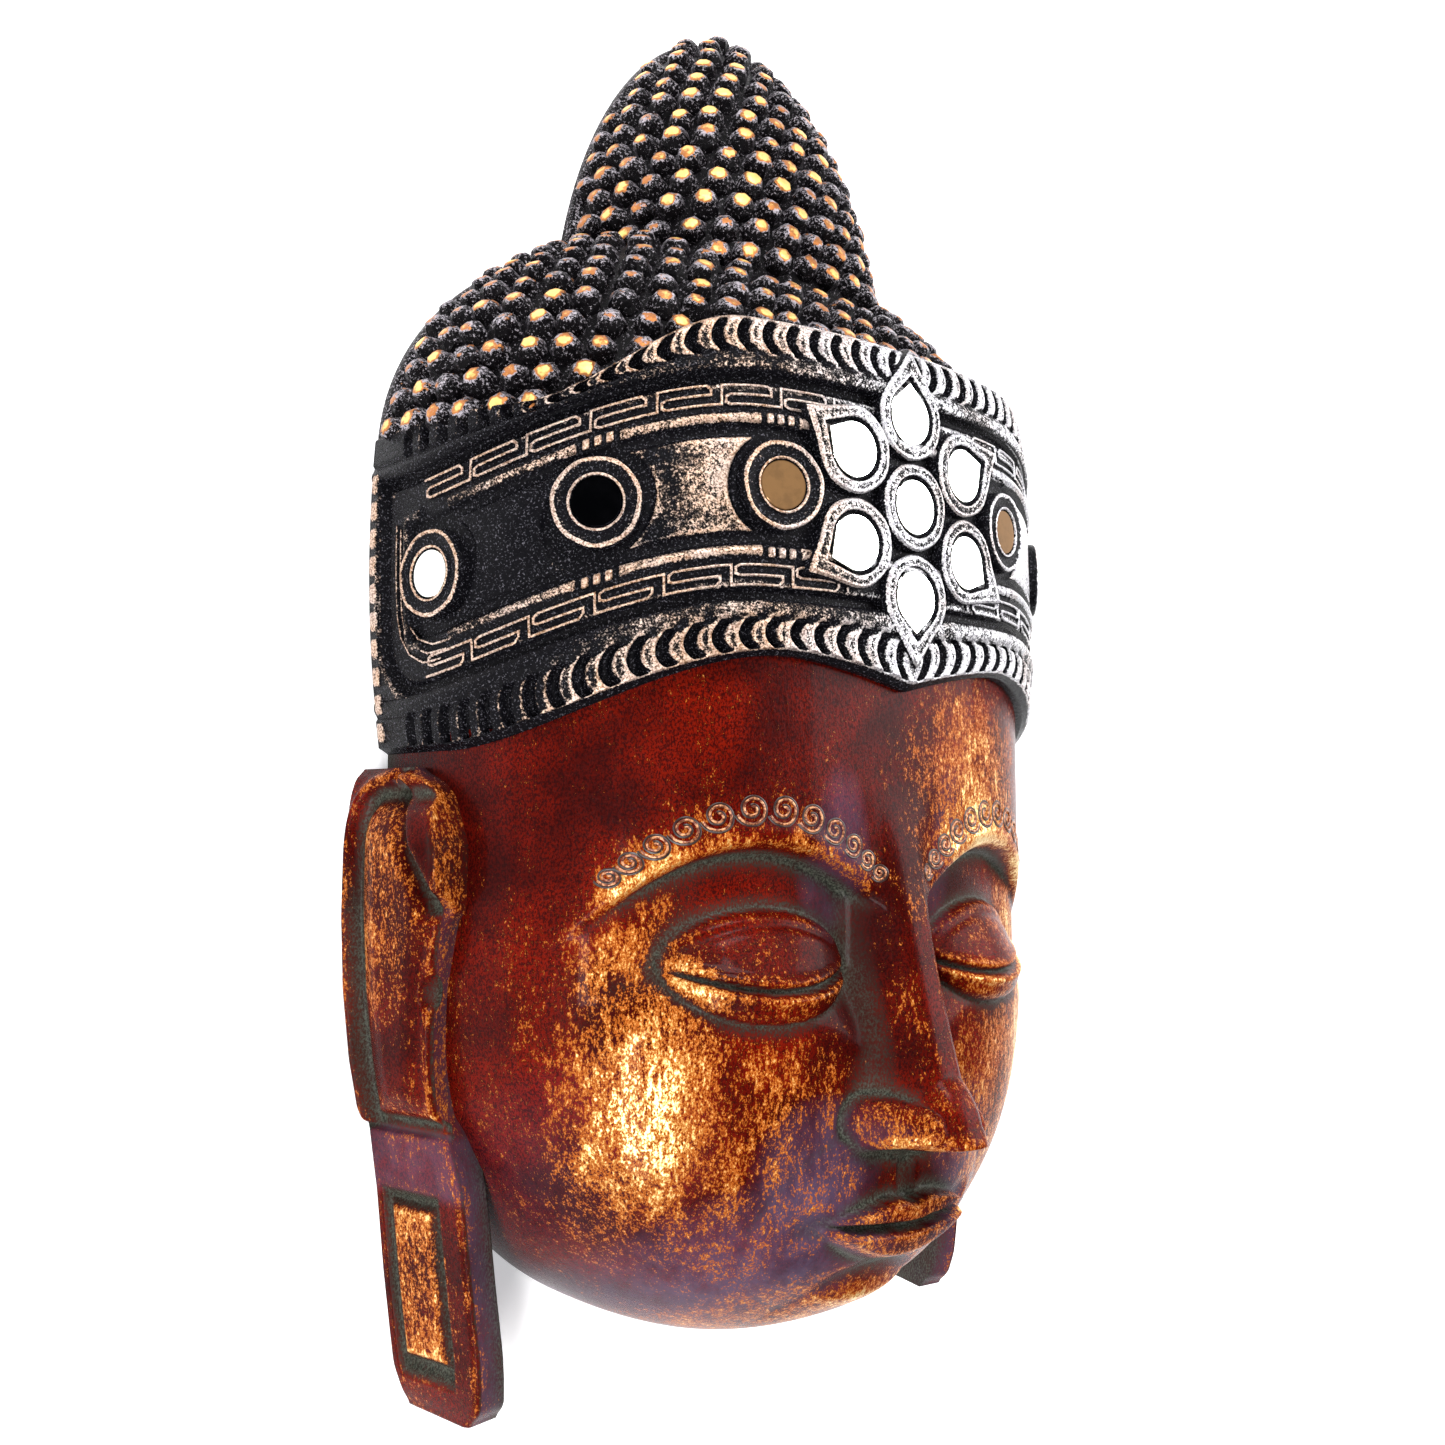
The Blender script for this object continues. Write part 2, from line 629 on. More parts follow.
# %% Band plan
RELIEF_ROOM = 0.28  # how far the band's face lies inside its solid, to leave room for the carving


def band_plan():
    """Distances along the band from the middle of the front, with X and Z at each."""
    angles = np.linspace(0, pi / 2, 1441)
    radius = oval(angles, BAND_WIDTH / 2 - RELIEF_ROOM, BAND_DEPTH - RELIEF_ROOM)
    x, z = radius * np.sin(angles), radius * np.cos(angles)
    along = np.concatenate([[0], np.cumsum(np.hypot(np.diff(x), np.diff(z)))])
    return along, x, z


PLAN, PLAN_X, PLAN_Z = band_plan()
BAND_HALF = PLAN[-1]
SLOPE_X, SLOPE_Z = np.gradient(PLAN_X, PLAN), np.gradient(PLAN_Z, PLAN)
print("half of the band along its curve", round(float(BAND_HALF), 2), "cm")


def band_taper(y):
    """The band is widest at its middle height and a little narrower above and below."""
    return 1 - 0.030 * ((y - 3.0) / 6) ** 2


def band_point(along, y, lift=0.0):
    """A point on the band's face, lifted off it."""
    along, y, lift = np.broadcast_arrays(*(np.asarray(v, float) for v in (along, y, lift)))
    place = np.minimum(np.abs(along), BAND_HALF)
    x, z = np.interp(place, PLAN, PLAN_X), np.interp(place, PLAN, PLAN_Z)
    run_x, run_z = np.interp(place, PLAN, SLOPE_X), np.interp(place, PLAN, SLOPE_Z)
    length = np.hypot(run_x, run_z)
    x = x * band_taper(y) - run_z / length * lift
    z = z * band_taper(y) + run_x / length * lift
    return np.stack([np.where(along < 0, -x, x), y, np.maximum(z, LOWEST)], -1)


def band_top(along):
    return 6.85 + 2.9 * (1 - smooth(0.32, 0.66, np.abs(along) / BAND_HALF))


def band_foot(along):
    part = np.abs(along) / BAND_HALF
    return -0.9 - 2.9 * smooth(0.25, 0.82, part) - 0.85 * np.clip(1 - part / 0.25, 0, 1) ** 1.5


def band_middle(along):
    return 4.35 - 2.75 * smooth(0.28, 0.92, np.abs(along) / BAND_HALF)


INSET = 3.65  # from the band's middle line to its borders
END = BAND_HALF - 0.62 - INSET  # where the frame begins to turn round the band's end
BOSSES = [(0.262, 0.0), (0.543, 0.2), (0.826, 0.0)]  # share of the half band, height over its middle
BOSS_PLACES = [share * BAND_HALF for share, _ in BOSSES]


def frame_offset(along, offset):
    """Offset from the middle line, turned round the band's ends, with round lower corners."""
    beyond = np.abs(along) - END
    square = np.maximum(np.abs(offset), beyond)
    corner = 1.7
    past, past_end = np.abs(offset) - corner, beyond - corner
    rounded = corner + np.hypot(np.maximum(past, 0), np.maximum(past_end, 0))
    low = (offset < 0) & (past > 0) & (past_end > 0)
    return np.where(low, rounded, square)


MOAT = 1.66  # how far the panels stay away from the middle of a boss


def panel(along, offset):
    """How far inside a hammered panel a place is, 0 at its edge: panels run from boss to boss."""
    place = np.abs(along)
    ends = [0.5 * (BOSS_PLACES[0] + BOSS_PLACES[1]), 0.5 * (BOSS_PLACES[1] + BOSS_PLACES[2])]
    middle = np.where(place < BOSS_PLACES[1], ends[0], ends[1])
    between = (place > BOSS_PLACES[0]) & (place < BOSS_PLACES[2])
    clear = np.min([np.hypot(place - spot, offset) for spot in BOSS_PLACES], axis=0) - MOAT
    sides = 2.05 - np.abs(place - middle)
    inside = np.minimum(np.minimum(clear, sides), 1.58 - np.abs(offset))
    return np.where(between, inside, 0).clip(0, 2)


def band_relief(along, offset):
    """The carving of the band's face: a line broken at the bosses, a sunk fret ground, panels."""
    frame_at = frame_offset(along, offset)
    gaps = 1
    for place in BOSS_PLACES:
        gaps = gaps * smooth(0.62, 0.70, np.abs(np.abs(along) - place))
    gaps = np.where(np.abs(along) > END + 1.5, 1, gaps)
    line = ridge(frame_at - 2.10, 0.20)
    out = -0.08 + 0.13 * smooth(1.80, 1.95, frame_at) + 0.17 * line * gaps
    out = out - 0.20 * smooth(3.16, 3.30, frame_at) * fade(3.60, 3.68, frame_at)
    out = out + 0.22 * smooth(3.60, 3.76, frame_at)
    inside = panel(along, offset)
    return out + 0.17 * smooth(0.0, 0.16, inside) + 0.07 * smooth(0.1, 1.3, inside)


# %% Band face
def make_band_face():
    along = np.linspace(-BAND_HALF, BAND_HALF, 760)[:, None]
    offset = np.linspace(-INSET - 0.02, INSET + 0.02, 124)[None, :]
    middle = band_middle(along)
    y = np.clip(middle + offset, band_foot(along) + 0.25, band_top(along) - 0.25)
    lift = band_relief(along, offset)
    stands_out = lift - soften(lift, 5)
    place = np.abs(along)
    inside = panel(along, offset)
    bright = 0.38 * bump(place, offset, BOSS_PLACES[0] + 2.45, 0.1, 2.0, 2.2, 0.6)
    bright = bright - 0.06 * (place > BOSS_PLACES[1])
    worn = 0.12 + np.clip(stands_out * 5.5, -0.5, 0.45) * (1 - 0.6 * smooth(0.05, 0.3, inside))
    worn = worn + (bright + 0.02) * smooth(0.0, 0.15, inside)
    worn = worn + 0.10 * smooth(-3, 6, along) - 0.12 * smooth(9, 18, place)
    carved_sheet("band_face", band_point(along, y, lift), {"worn": worn}, BAND, turned=True)


make_band_face()

# %% [markdown]
# ### Crescent borders
# Both edges of the band are cut with crescents: the carver pushes a round gouge straight in, then cuts
# up to it on a slant from the side. Along the edge this is a ramp that ends in a curved step, repeated
# every 8.5 mm, and the step faces away from the middle on both sides.

# %% Borders
CRESCENT = 0.85  # from one crescent to the next


def crescents(along, zone):
    """Depth of the crescent cuts; zone runs 0 to 1 across the cuts."""
    bow = 0.36 * (1 - (2 * np.clip(zone, 0, 1) - 1) ** 2)
    bow = bow * (1 - 0.8 * smooth(10.5, 16, np.abs(along)))
    turn = np.mod((np.abs(along) - bow) / CRESCENT, 1)
    ramp = smooth(0.02, 0.42, turn) * fade(0.56, 0.62, turn)
    return ramp * smooth(0.0, 0.13, zone) * smooth(0.0, 0.10, 1 - zone)


def make_border(name, edge, sign, lip):
    """One border, out from the groove beside the frets; past the share lip it is a plain rim."""
    along = np.linspace(-BAND_HALF, BAND_HALF, 1180)[:, None]
    share = np.concatenate([np.linspace(0, 1, 50), [1.0, 1.0]])[None, :]
    inner = band_middle(along) + sign * (INSET - 0.06)
    y = inner + (edge(along) - inner) * share
    low = 0.34 if sign > 0 else 0.30
    zone = (share - low) / (lip - low)
    inner_roll = 0.17 * np.sin(np.clip(share / 0.34, 0, 1) * pi) ** 0.6
    body = 0.14 + inner_roll + 0.14 * smooth(0.28, 0.42, share)
    cut = crescents(along, zone) * fade(BAND_HALF - 2.6, BAND_HALF - 1.6, np.abs(along))
    rim = smooth(lip - 0.02, lip + 0.04, share) * (lip < 0.99)
    lift = body - 0.40 * cut - 0.16 * rim - 0.14 * smooth(0.93, 1.0, share)
    lift[:, -2] = -0.15
    lift[:, -1] = -0.9
    stands_out = lift - soften(lift, 4)
    worn = 0.36 + np.clip(stands_out * 3.4, -0.6, 0.36) - 0.85 * cut - 0.5 * rim
    worn = worn + 0.06 * smooth(-3, 6, along) - 0.28 * smooth(8.5, 17, np.abs(along))
    worn[:, -2:] = 0.1
    carved_sheet(name, band_point(along, y, lift), {"worn": worn}, BAND, turned=sign > 0)


make_border("upper_crescents", band_top, 1, 1.0)
make_border("lower_crescents", band_foot, -1, 0.90)

# %% [markdown]
# ### Fret rows, beads and lines
# Between the crescents and the panels runs a key fret: one thin raised line folded back on itself
# again and again. It is a drawn path in the band's two numbers, swept with a small flat-topped
# section, so its corners stay crisp at any size.

# %% Raised lines on the band
def band_ridge(path, half_width, top, step=0.22):
    """Strip of points for a flat-topped ridge along a path of (along, offset)."""
    path = np.asarray(path, float)
    pieces = []
    for a, b in zip(path[:-1], path[1:]):
        count = max(1, int(np.ceil(np.hypot(*(b - a)) / step)))
        pieces.append(a + (b - a) * np.linspace(0, 1, count, endpoint=False)[:, None])
    path = np.vstack([*pieces, path[-1:]])
    run = unit(np.diff(path, axis=0))
    before, after = np.vstack([run[:1], run]), np.vstack([run, run[-1:]])
    mitre = before + after
    mitre /= np.maximum(np.linalg.norm(mitre, axis=1)[:, None], 1e-6)
    stretch = 1 / np.maximum((mitre * before).sum(1), 0.6)
    normal = np.c_[-mitre[:, 1], mitre[:, 0]] * stretch[:, None]
    section = [(-1, 0), (-0.6, top - 0.015), (-0.25, top), (0.25, top), (0.6, top - 0.015), (1, 0)]
    rows = []
    for reach, lift in section:
        spot = path + normal * reach * half_width
        rows.append(band_point(spot[:, 0], band_middle(spot[:, 0]) + spot[:, 1], lift))
    return np.stack(rows, 1)


SECTION_WORN = np.array([0.0, 0.62, 0.74, 0.74, 0.62, 0.0])
FRET_UNIT = 2.05  # about the length of one hook of the fret


def fret_path(start, end, low, high):
    """The key fret from start to end: a hook in every unit, joined along the top."""
    units = max(1, round(abs(end - start) / FRET_UNIT))
    pitch = (end - start) / units
    shape = [(0.0, 1.0), (0.0, 0.0), (0.86, 0.0), (0.93, 0.12), (0.93, 0.42), (0.86, 0.52),
             (0.17, 0.52), (0.17, 0.78), (0.24, 1.0)]
    path = []
    for number in range(units):
        path += [(start + (number + u) * pitch, low + v * (high - low)) for u, v in shape]
    return path + [(end, high)]


def make_frets():
    strips = []
    for side in (-1, 1):
        for low, high, start in ((2.52, 3.14, 3.3), (-2.52, -3.14, 2.9)):
            path = fret_path(side * start, side * (END + 1.2), low, high)
            strips.append((band_ridge(path, 0.060, 0.145), SECTION_WORN * 0.92))
        lower_corner = [(0.45, -2.72), (1.35, -2.66), (2.05, -2.3), (2.5, -1.7), (2.66, -1.0),
                        (2.7, 0.2), (2.7, 2.0)]
        for shift, reach in ((0.0, 1.0), (0.26, 0.91), (0.52, 0.82)):
            path = [(side * (END + along - shift), offset * reach) for along, offset in lower_corner]
            strips.append((band_ridge(path, 0.05, 0.13), SECTION_WORN * 0.8))
    gathered("band_frets", strips, BAND, mark="worn")


make_frets()


BEAD_CORNERS = [(-1, -0.7), (-0.7, -1), (0.7, -1), (1, -0.7), (1, 0.7), (0.7, 1), (-0.7, 1),
                (-1, 0.7), (-1, -0.7)]


def bead(along, offset, half_along, half_up, foot, top):
    """A small blunt block on the band, as a strip of rings from its foot to its middle."""
    rings = []
    for reach, lift in ((1.0, foot), (0.94, top - 0.05), (0.72, top), (0.0, top)):
        spot = np.array([(along + half_along * reach * a, offset + half_up * reach * b)
                         for a, b in BEAD_CORNERS])
        rings.append(band_point(spot[:, 0], band_middle(spot[:, 0]) + spot[:, 1], lift))
    return np.stack(rings)


BEAD_WORN = np.array([0.0, 0.55, 0.75, 0.75])[:, None]
END_BEAD_PITCH = 0.92


def make_beads():
    blocks = []
    for side in (-1, 1):
        for place in BOSS_PLACES[:2]:
            for sign in (-1, 1):
                for shift in (-0.36, 0.0, 0.36):
                    blocks.append((bead(side * (place + shift), sign * 2.12, 0.12, 0.17, 0.0, 0.20),
                                   BEAD_WORN))
        low = float(band_foot(BAND_HALF) - band_middle(BAND_HALF)) + 0.7
        high = float(band_top(BAND_HALF) - band_middle(BAND_HALF)) - 0.9
        for offset in np.arange(low, high, END_BEAD_PITCH):
            blocks.append((bead(side * (BAND_HALF - 0.34), offset, 0.24, 0.36, 0.05, 0.34),
                           BEAD_WORN * 0.85))
    gathered("band_beads", blocks, BAND, mark="worn")


make_beads()


# %% [markdown]
# ## Mirrors in their dishes
# Seven mirrors make a flower in front and three more sit on each side. Each lies in a wooden dish with
# a raised rim, round or drawn out to a point like a petal. One outline, scaled up ring by ring and
# lifted along a profile, gives both the dish and the glass.

# %% Dishes and glass
def round_outline(count=56):
    turn = np.linspace(0, 2 * pi, count, endpoint=False)
    return np.c_[np.cos(turn), np.sin(turn)]


def petal_outline(count=52, point=1.62):
    """A teardrop of unit radius whose point looks up."""
    touch = np.arccos(1 / point)
    turn = np.linspace(pi / 2 + touch, 2 * pi + pi / 2 - touch, count)
    arc = np.c_[np.cos(turn), np.sin(turn)]
    tip = np.array([[0, point]])
    rise = np.linspace(0, 1, 5)[1:-1, None]
    return np.vstack([arc, arc[-1:] + (tip - arc[-1:]) * rise, tip, tip + (arc[:1] - tip) * rise])


class Seat:
    """A place on the band's face with its own right, up and out."""

    def __init__(self, along, y, turn=0.0):
        self.origin = band_point(along, y)
        right = unit(band_point(along + 0.2, y) - band_point(along - 0.2, y))
        up = np.array([0, 1.0, 0])
        self.out = np.cross(right, up)
        self.right = cos(turn) * right + sin(turn) * up
        self.up = -sin(turn) * right + cos(turn) * up

    def at(self, flat, lift):
        """Points drawn flat on the seat and lifted off it."""
        return self.origin + flat[:, :1] * self.right + flat[:, 1:] * self.up + lift[:, None] * self.out


FLOWER_RADIUS = 3.05  # from the middle of the flower to the middle of a petal


def mirror_seats():
    """Name, outline, kind of dish and seat of each of the thirteen mirrors."""
    middle = float(band_middle(0))
    seats = [("mirror_flower_centre", round_outline, "flower", Seat(0, middle))]
    words = ["top", "upper_left", "lower_left", "bottom", "lower_right", "upper_right"]
    for k, word in enumerate(words):
        turn = k * pi / 3
        seat = Seat(-FLOWER_RADIUS * sin(turn), middle + FLOWER_RADIUS * cos(turn), turn)
        seats.append(("mirror_petal_" + word, petal_outline, "flower", seat))
    for side, word in ((-1, "left"), (1, "right")):
        for number, (share, rise) in enumerate(BOSSES, 1):
            along = side * share * BAND_HALF
            seat = Seat(along, float(band_middle(along)) + rise)
            seats.append((f"mirror_round_{word}_{number}", round_outline, "boss", seat))
    return seats


MIRROR_KINDS = {"mirror_round_left_1": BROWN_MIRROR, "mirror_round_right_1": BROWN_MIRROR,
                "mirror_round_left_2": BLACK_MIRROR, "mirror_round_right_2": BLACK_MIRROR}
DISHES = {
    # glass radius, then rings of (radius, lift, how worn)
    "flower": (0.925, [(0.90, 0.08, 0.0), (0.96, 0.08, 0.0), (1.02, 0.09, 0.0), (1.05, 0.30, 0.45),
                       (1.085, 0.355, 0.95), (1.13, 0.35, 0.66), (1.28, 0.325, 0.56),
                       (1.37, 0.33, 0.82), (1.43, 0.30, 0.90), (1.465, 0.17, 0.1),
                       (1.475, 0.03, 0.0), (1.48, -0.2, 0.0)]),
    "boss": (0.775, [(0.75, 0.10, 0.0), (0.79, 0.10, 0.0), (0.812, 0.27, 0.5), (0.84, 0.33, 0.95),
                     (0.88, 0.335, 0.95), (0.91, 0.29, 0.25), (0.945, 0.245, 0.0), (1.00, 0.265, 0.30),
                     (1.10, 0.285, 0.42), (1.24, 0.30, 0.46), (1.31, 0.345, 0.92), (1.37, 0.335, 0.90),
                     (1.42, 0.26, 0.30), (1.44, 0.10, 0.0), (1.455, -0.2, 0.0)]),
}


def make_dishes_and_mirrors():
    dishes = []
    random = np.random.default_rng(4)
    for name, outline, kind, seat in mirror_seats():
        glass, rings = DISHES[kind]
        shape = glass_shape = outline()
        if outline is petal_outline:
            glass_shape = petal_outline(point=1.30)
            from_tip = np.arange(len(shape)) - np.argmax(shape[:, 1])
            waist = 0.035 * (ridge(from_tip - 2.2, 1.3) + ridge(from_tip + 2.2, 1.3))
            shape = shape * (1 - waist)[:, None]
        turns = np.arctan2(shape[:, 1], shape[:, 0])
        wobble = 0.010 * np.sin(3 * turns + random.uniform(0, 6)) + 0.008 * np.sin(7 * turns)
        rows, worn = [], []
        outer_radius = rings[-1][0]
        for radius, lift, rubbed in rings:
            notch = 0.010 * np.sin(34 * turns) * (rubbed > 0.5)
            part = np.clip((radius - glass) / (outer_radius - glass), 0, 1)
            ring = glass_shape + (shape - glass_shape) * part
            rows.append(seat.at(ring * radius * (1 + wobble * (radius > 1.1))[:, None],
                                np.full(len(shape), lift) + notch))
            worn.append(np.full(len(shape), rubbed * 0.78))
        dishes.append((np.stack(rows), np.stack(worn)))

        points = []
        for radius, lift in ((glass, 0.07), (glass, 0.245), (glass - 0.03, 0.27)):
            points.append(seat.at(glass_shape * radius, np.full(len(shape), lift)))
        count = len(shape)
        faces = grid_faces(3, count, closed=True)
        faces += [tuple(range(count))[::-1], tuple(range(2 * count, 3 * count))]
        mirror = carved_piece(name + "_glass", np.concatenate(points), faces, {},
                              MIRROR_KINDS.get(name, MIRROR), False)
        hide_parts(name)
    gathered("mirror_dishes", dishes, BAND, closed=True, mark="worn")


make_dishes_and_mirrors()

# %% [markdown]
# ## The hair
# The hair is a field of blunt pegs left standing by crossed chisel cuts, row above row, each row
# shifted by half a peg. Pegs are set one by one on the cap and the knot, turned to the surface, with
# small differences in size and lean, because that is what makes cut wood look cut.

# %% Hair surfaces and pegs
CAP = (cap_half_width, cap_depth)
KNOT = (knot_half_width, knot_depth)


def hair_point(form, angle, y):
    """A point on the cap or the knot."""
    width, depth = form
    radius = oval(angle, np.maximum(width(y), 1e-4), np.maximum(depth(y), 1e-4))
    return places(radius * np.sin(angle), y, radius * np.cos(angle))


def inside_form(form, point, grow):
    """Whether a point lies inside the cap or the knot, made larger all round by grow."""
    width, depth = form[0](point[1]) + grow, form[1](point[1]) + grow
    if width <= 0.05 or depth <= 0.05:
        return False
    return (abs(point[0]) / width) ** SQUARENESS + (abs(point[2]) / depth) ** SQUARENESS < 1


def peg_rows(form, foot, top, row_pitch, peg_pitch):
    """Angle and height of each peg on one form, row by row along its front profile."""
    y = foot + (top - foot) * np.sin(np.linspace(0, 1, 2000) * pi / 2)
    depth = form[1](y)
    run = np.concatenate([[0], np.cumsum(np.hypot(np.diff(y), np.diff(depth)))])
    rows = []
    for number, place in enumerate(np.arange(0.3, run[-1] - 0.2, row_pitch)):
        level = float(np.interp(place, run, y))
        angle = np.linspace(-pi / 2, pi / 2, 1201)
        ring = hair_point(form, angle, np.full_like(angle, level))
        girth = np.concatenate([[0], np.cumsum(np.linalg.norm(np.diff(ring, axis=0), axis=1))])
        girth -= girth[-1] / 2
        shift = 0.5 * (number % 2) + 0.07 * sin(2.7 * number)
        count = int(girth[-1] / peg_pitch) + 2
        for k in range(-count, count + 1):
            spot = (k + shift + 0.05 * sin(4.1 * k + number)) * peg_pitch
            if abs(spot) < girth[-1] - 0.45:
                rows.append((float(np.interp(spot, girth, angle)), level))
    return rows


# rings of (radius, lift, how rubbed) from the foot of a peg to its tip
PEG_RINGS = [(0.57, -0.30, 0.0), (0.55, 0.04, 0.0), (0.48, 0.24, 0.0), (0.385, 0.41, 0.10),
             (0.27, 0.515, 0.55), (0.15, 0.54, 1.0)]
PEG_SIDES = 7
PEG_ROW_PITCH, PEG_PITCH = 0.98, 1.16


def make_hair():
    random = np.random.default_rng(11)
    grids = []
    for form, foot, top, rows, columns in ((CAP, 5.0, 15.98, 60, 150), (KNOT, 8.0, 24.97, 80, 110)):
        y = foot + (top - foot) * np.sin(np.linspace(0, 1, rows) * pi / 2)[:, None]
        angle = np.linspace(-pi / 2, pi / 2, columns)[None, :]
        points = hair_point(form, angle, y)
        points[..., 2] = np.maximum(points[..., 2], LOWEST)
        grids.append((points[:, ::-1], -0.2))
    pegs = []
    for form, other, foot, top in ((CAP, KNOT, 5.6, 15.9), (KNOT, CAP, 8.6, 24.42)):
        for angle, y in peg_rows(form, foot, top, PEG_ROW_PITCH, PEG_PITCH):
            spot = hair_point(form, angle, y)
            along = np.interp(abs(angle), np.arctan2(PLAN_X, PLAN_Z), PLAN)
            if y < band_top(along) - 0.15 or inside_form(other, spot, 0.12) or spot[2] < 0.75:
                continue
            side = hair_point(form, angle + 0.01, y) - hair_point(form, angle - 0.01, y)
            rise = hair_point(form, angle, min(y + 0.05, top)) - hair_point(form, angle, y - 0.05)
            out, side = unit(np.cross(side, rise)), unit(side)
            up = np.cross(out, side)
            lean = random.normal(0, 0.08, 2) + (0, 0.05)
            size = random.uniform(0.92, 1.08)
            turn = random.uniform(0, 2 * pi)
            corners = turn + np.linspace(0, 2 * pi, PEG_SIDES, endpoint=False)
            # hands reach the middle of the knot most
            front = 0.44 * ridge(spot[0] + 2.2, 1.7) * smooth(12, 16, y)
            bright = random.normal(0, 0.22) + front - 0.10 * smooth(0, 4, spot[0])
            rows, tips = [], []
            for radius, lift, tip in PEG_RINGS:
                reach = radius * size * (1 + 0.05 * random.normal(size=PEG_SIDES))
                slope = lift - 0.03 * np.sin(corners) * (lift > 0.3)
                rows.append(spot + np.outer(reach * np.cos(corners) + lean[0] * lift, side)
                            + np.outer(reach * np.sin(corners) + lean[1] * lift, up)
                            + np.outer(slope * size, out))
                tips.append(tip * (0.62 + bright) + 0.24 * np.sin(corners) * (0 <= lift < 0.5))
            top_place = spot + out * 0.555 * size + side * lean[0] * 0.55 + up * lean[1] * 0.55
            rows.append(np.repeat(top_place[None], PEG_SIDES, axis=0))
            tips.append(np.full(PEG_SIDES, 0.64 + bright))
            pegs.append((np.stack(rows), np.stack(tips)))
    print(len(pegs), "pegs of hair")
    gathered("hair_ground", grids, HAIR, mark="tip")
    gathered("hair_knobs", pegs, HAIR, closed=True, mark="tip").data.shade_flat()


make_hair()

# %% [markdown]
# ### The plain rim behind the hair
# Behind the last pegs the carver left a thin plain rim, which shows as a dark line round the hair. It
# follows the joined outline of the cap and the knot.

# %% Hair rim
def make_hair_rim():
    to_the_top = 15.9 + 8.9 * np.sin(np.linspace(0, pi / 2, 140))[1:]
    y = np.concatenate([np.linspace(4.5, 15.9, 160), to_the_top])
    x = np.maximum(cap_half_width(y) * (y < 15.99), knot_half_width(np.maximum(y, 8.0)))
    half = np.c_[x, y][x > 0.25]
    path = np.vstack([half, half[::-1] * (-1, 1)])
    run = unit(soften(np.gradient(path, axis=0), 2))
    out = np.c_[run[:, 1], -run[:, 0]]
    rows = []
    for reach, z in ((-0.5, 0.66), (0.10, 0.62), (0.30, 0.50), (0.36, 0.30), (0.36, LOWEST)):
        rows.append(np.c_[path + out * reach, np.full(len(path), z)])
    gathered("hair_rim", [(np.stack(rows, 1), 0.02)], HAIR, mark="tip")


make_hair_rim()

# %% [markdown]
# ## The ears
# Each ear is a long plate that runs from a folded shell down to a flat lobe with a sunk panel. The
# plate is drawn as a section that changes with height; its carving is a height over the plate, written
# as distances from the plate's own edges, so the groove follows the ear's round top by itself.

# %% Ear carving
EAR_TOP, LEAF_FOOT, SHELL_FOOT, EAR_FOOT = -4.3, -9.2, -15.8, -25.0
PANEL_TOP, PANEL_FOOT = -17.65, -24.0  # the lobe's sunk panel
PILLAR_TOP, PILLAR_FOOT = -18.45, -23.05  # the ridge left standing in it
EAR_HEIGHT = [-4.3, -4.6, -5.2, -6.8, -9.0, -11.4, -13.6, -15.3, -15.7, -17.4, -18.0, -20.6, -22.8,
              -23.6, -24.5, -25.0]
EAR_BACK = [13.55, 13.80, 13.98, 14.12, 14.15, 14.05, 13.80, 13.46, 13.22, 12.97, 12.88, 12.60, 12.30,
            12.18, 11.85, 11.55]
EAR_FRONT = [13.10, 13.12, 13.15, 13.20, 13.10, 12.95, 12.75, 12.50, 12.40, 12.05, 11.95, 11.62, 11.32,
             11.24, 11.12, 11.15]
EAR_REACH = [2.3, 3.1, 3.8, 4.4, 4.3, 3.75, 3.4, 3.25, 3.5, 3.8, 3.8, 3.8, 3.8, 3.75, 3.5, 2.9]


def ear_profile(values, y):
    """One of the lists above as a curve without corners."""
    dense = np.linspace(EAR_FOOT, EAR_TOP, 830)
    drawn = np.interp(dense, EAR_HEIGHT[::-1], values[::-1])
    eased = soften(np.repeat(drawn[None, :], 3, axis=0), 1)[1]
    wide = np.convolve(np.pad(eased, 9, mode="edge"), np.ones(19) / 19, mode="valid")
    return np.interp(y, dense, wide)


def leaf_edge(y):
    """How far from the ear's back edge the leaf over its front begins."""
    return 2.35 + 2.3 * np.clip((-4.6 - y) / 4.1, 0, 1) ** 0.9


def beside_leaf(y):
    """1 at the heights where the leaf lies over the ear's front, 0 below it."""
    return smooth(LEAF_FOOT, LEAF_FOOT + 0.5, y)


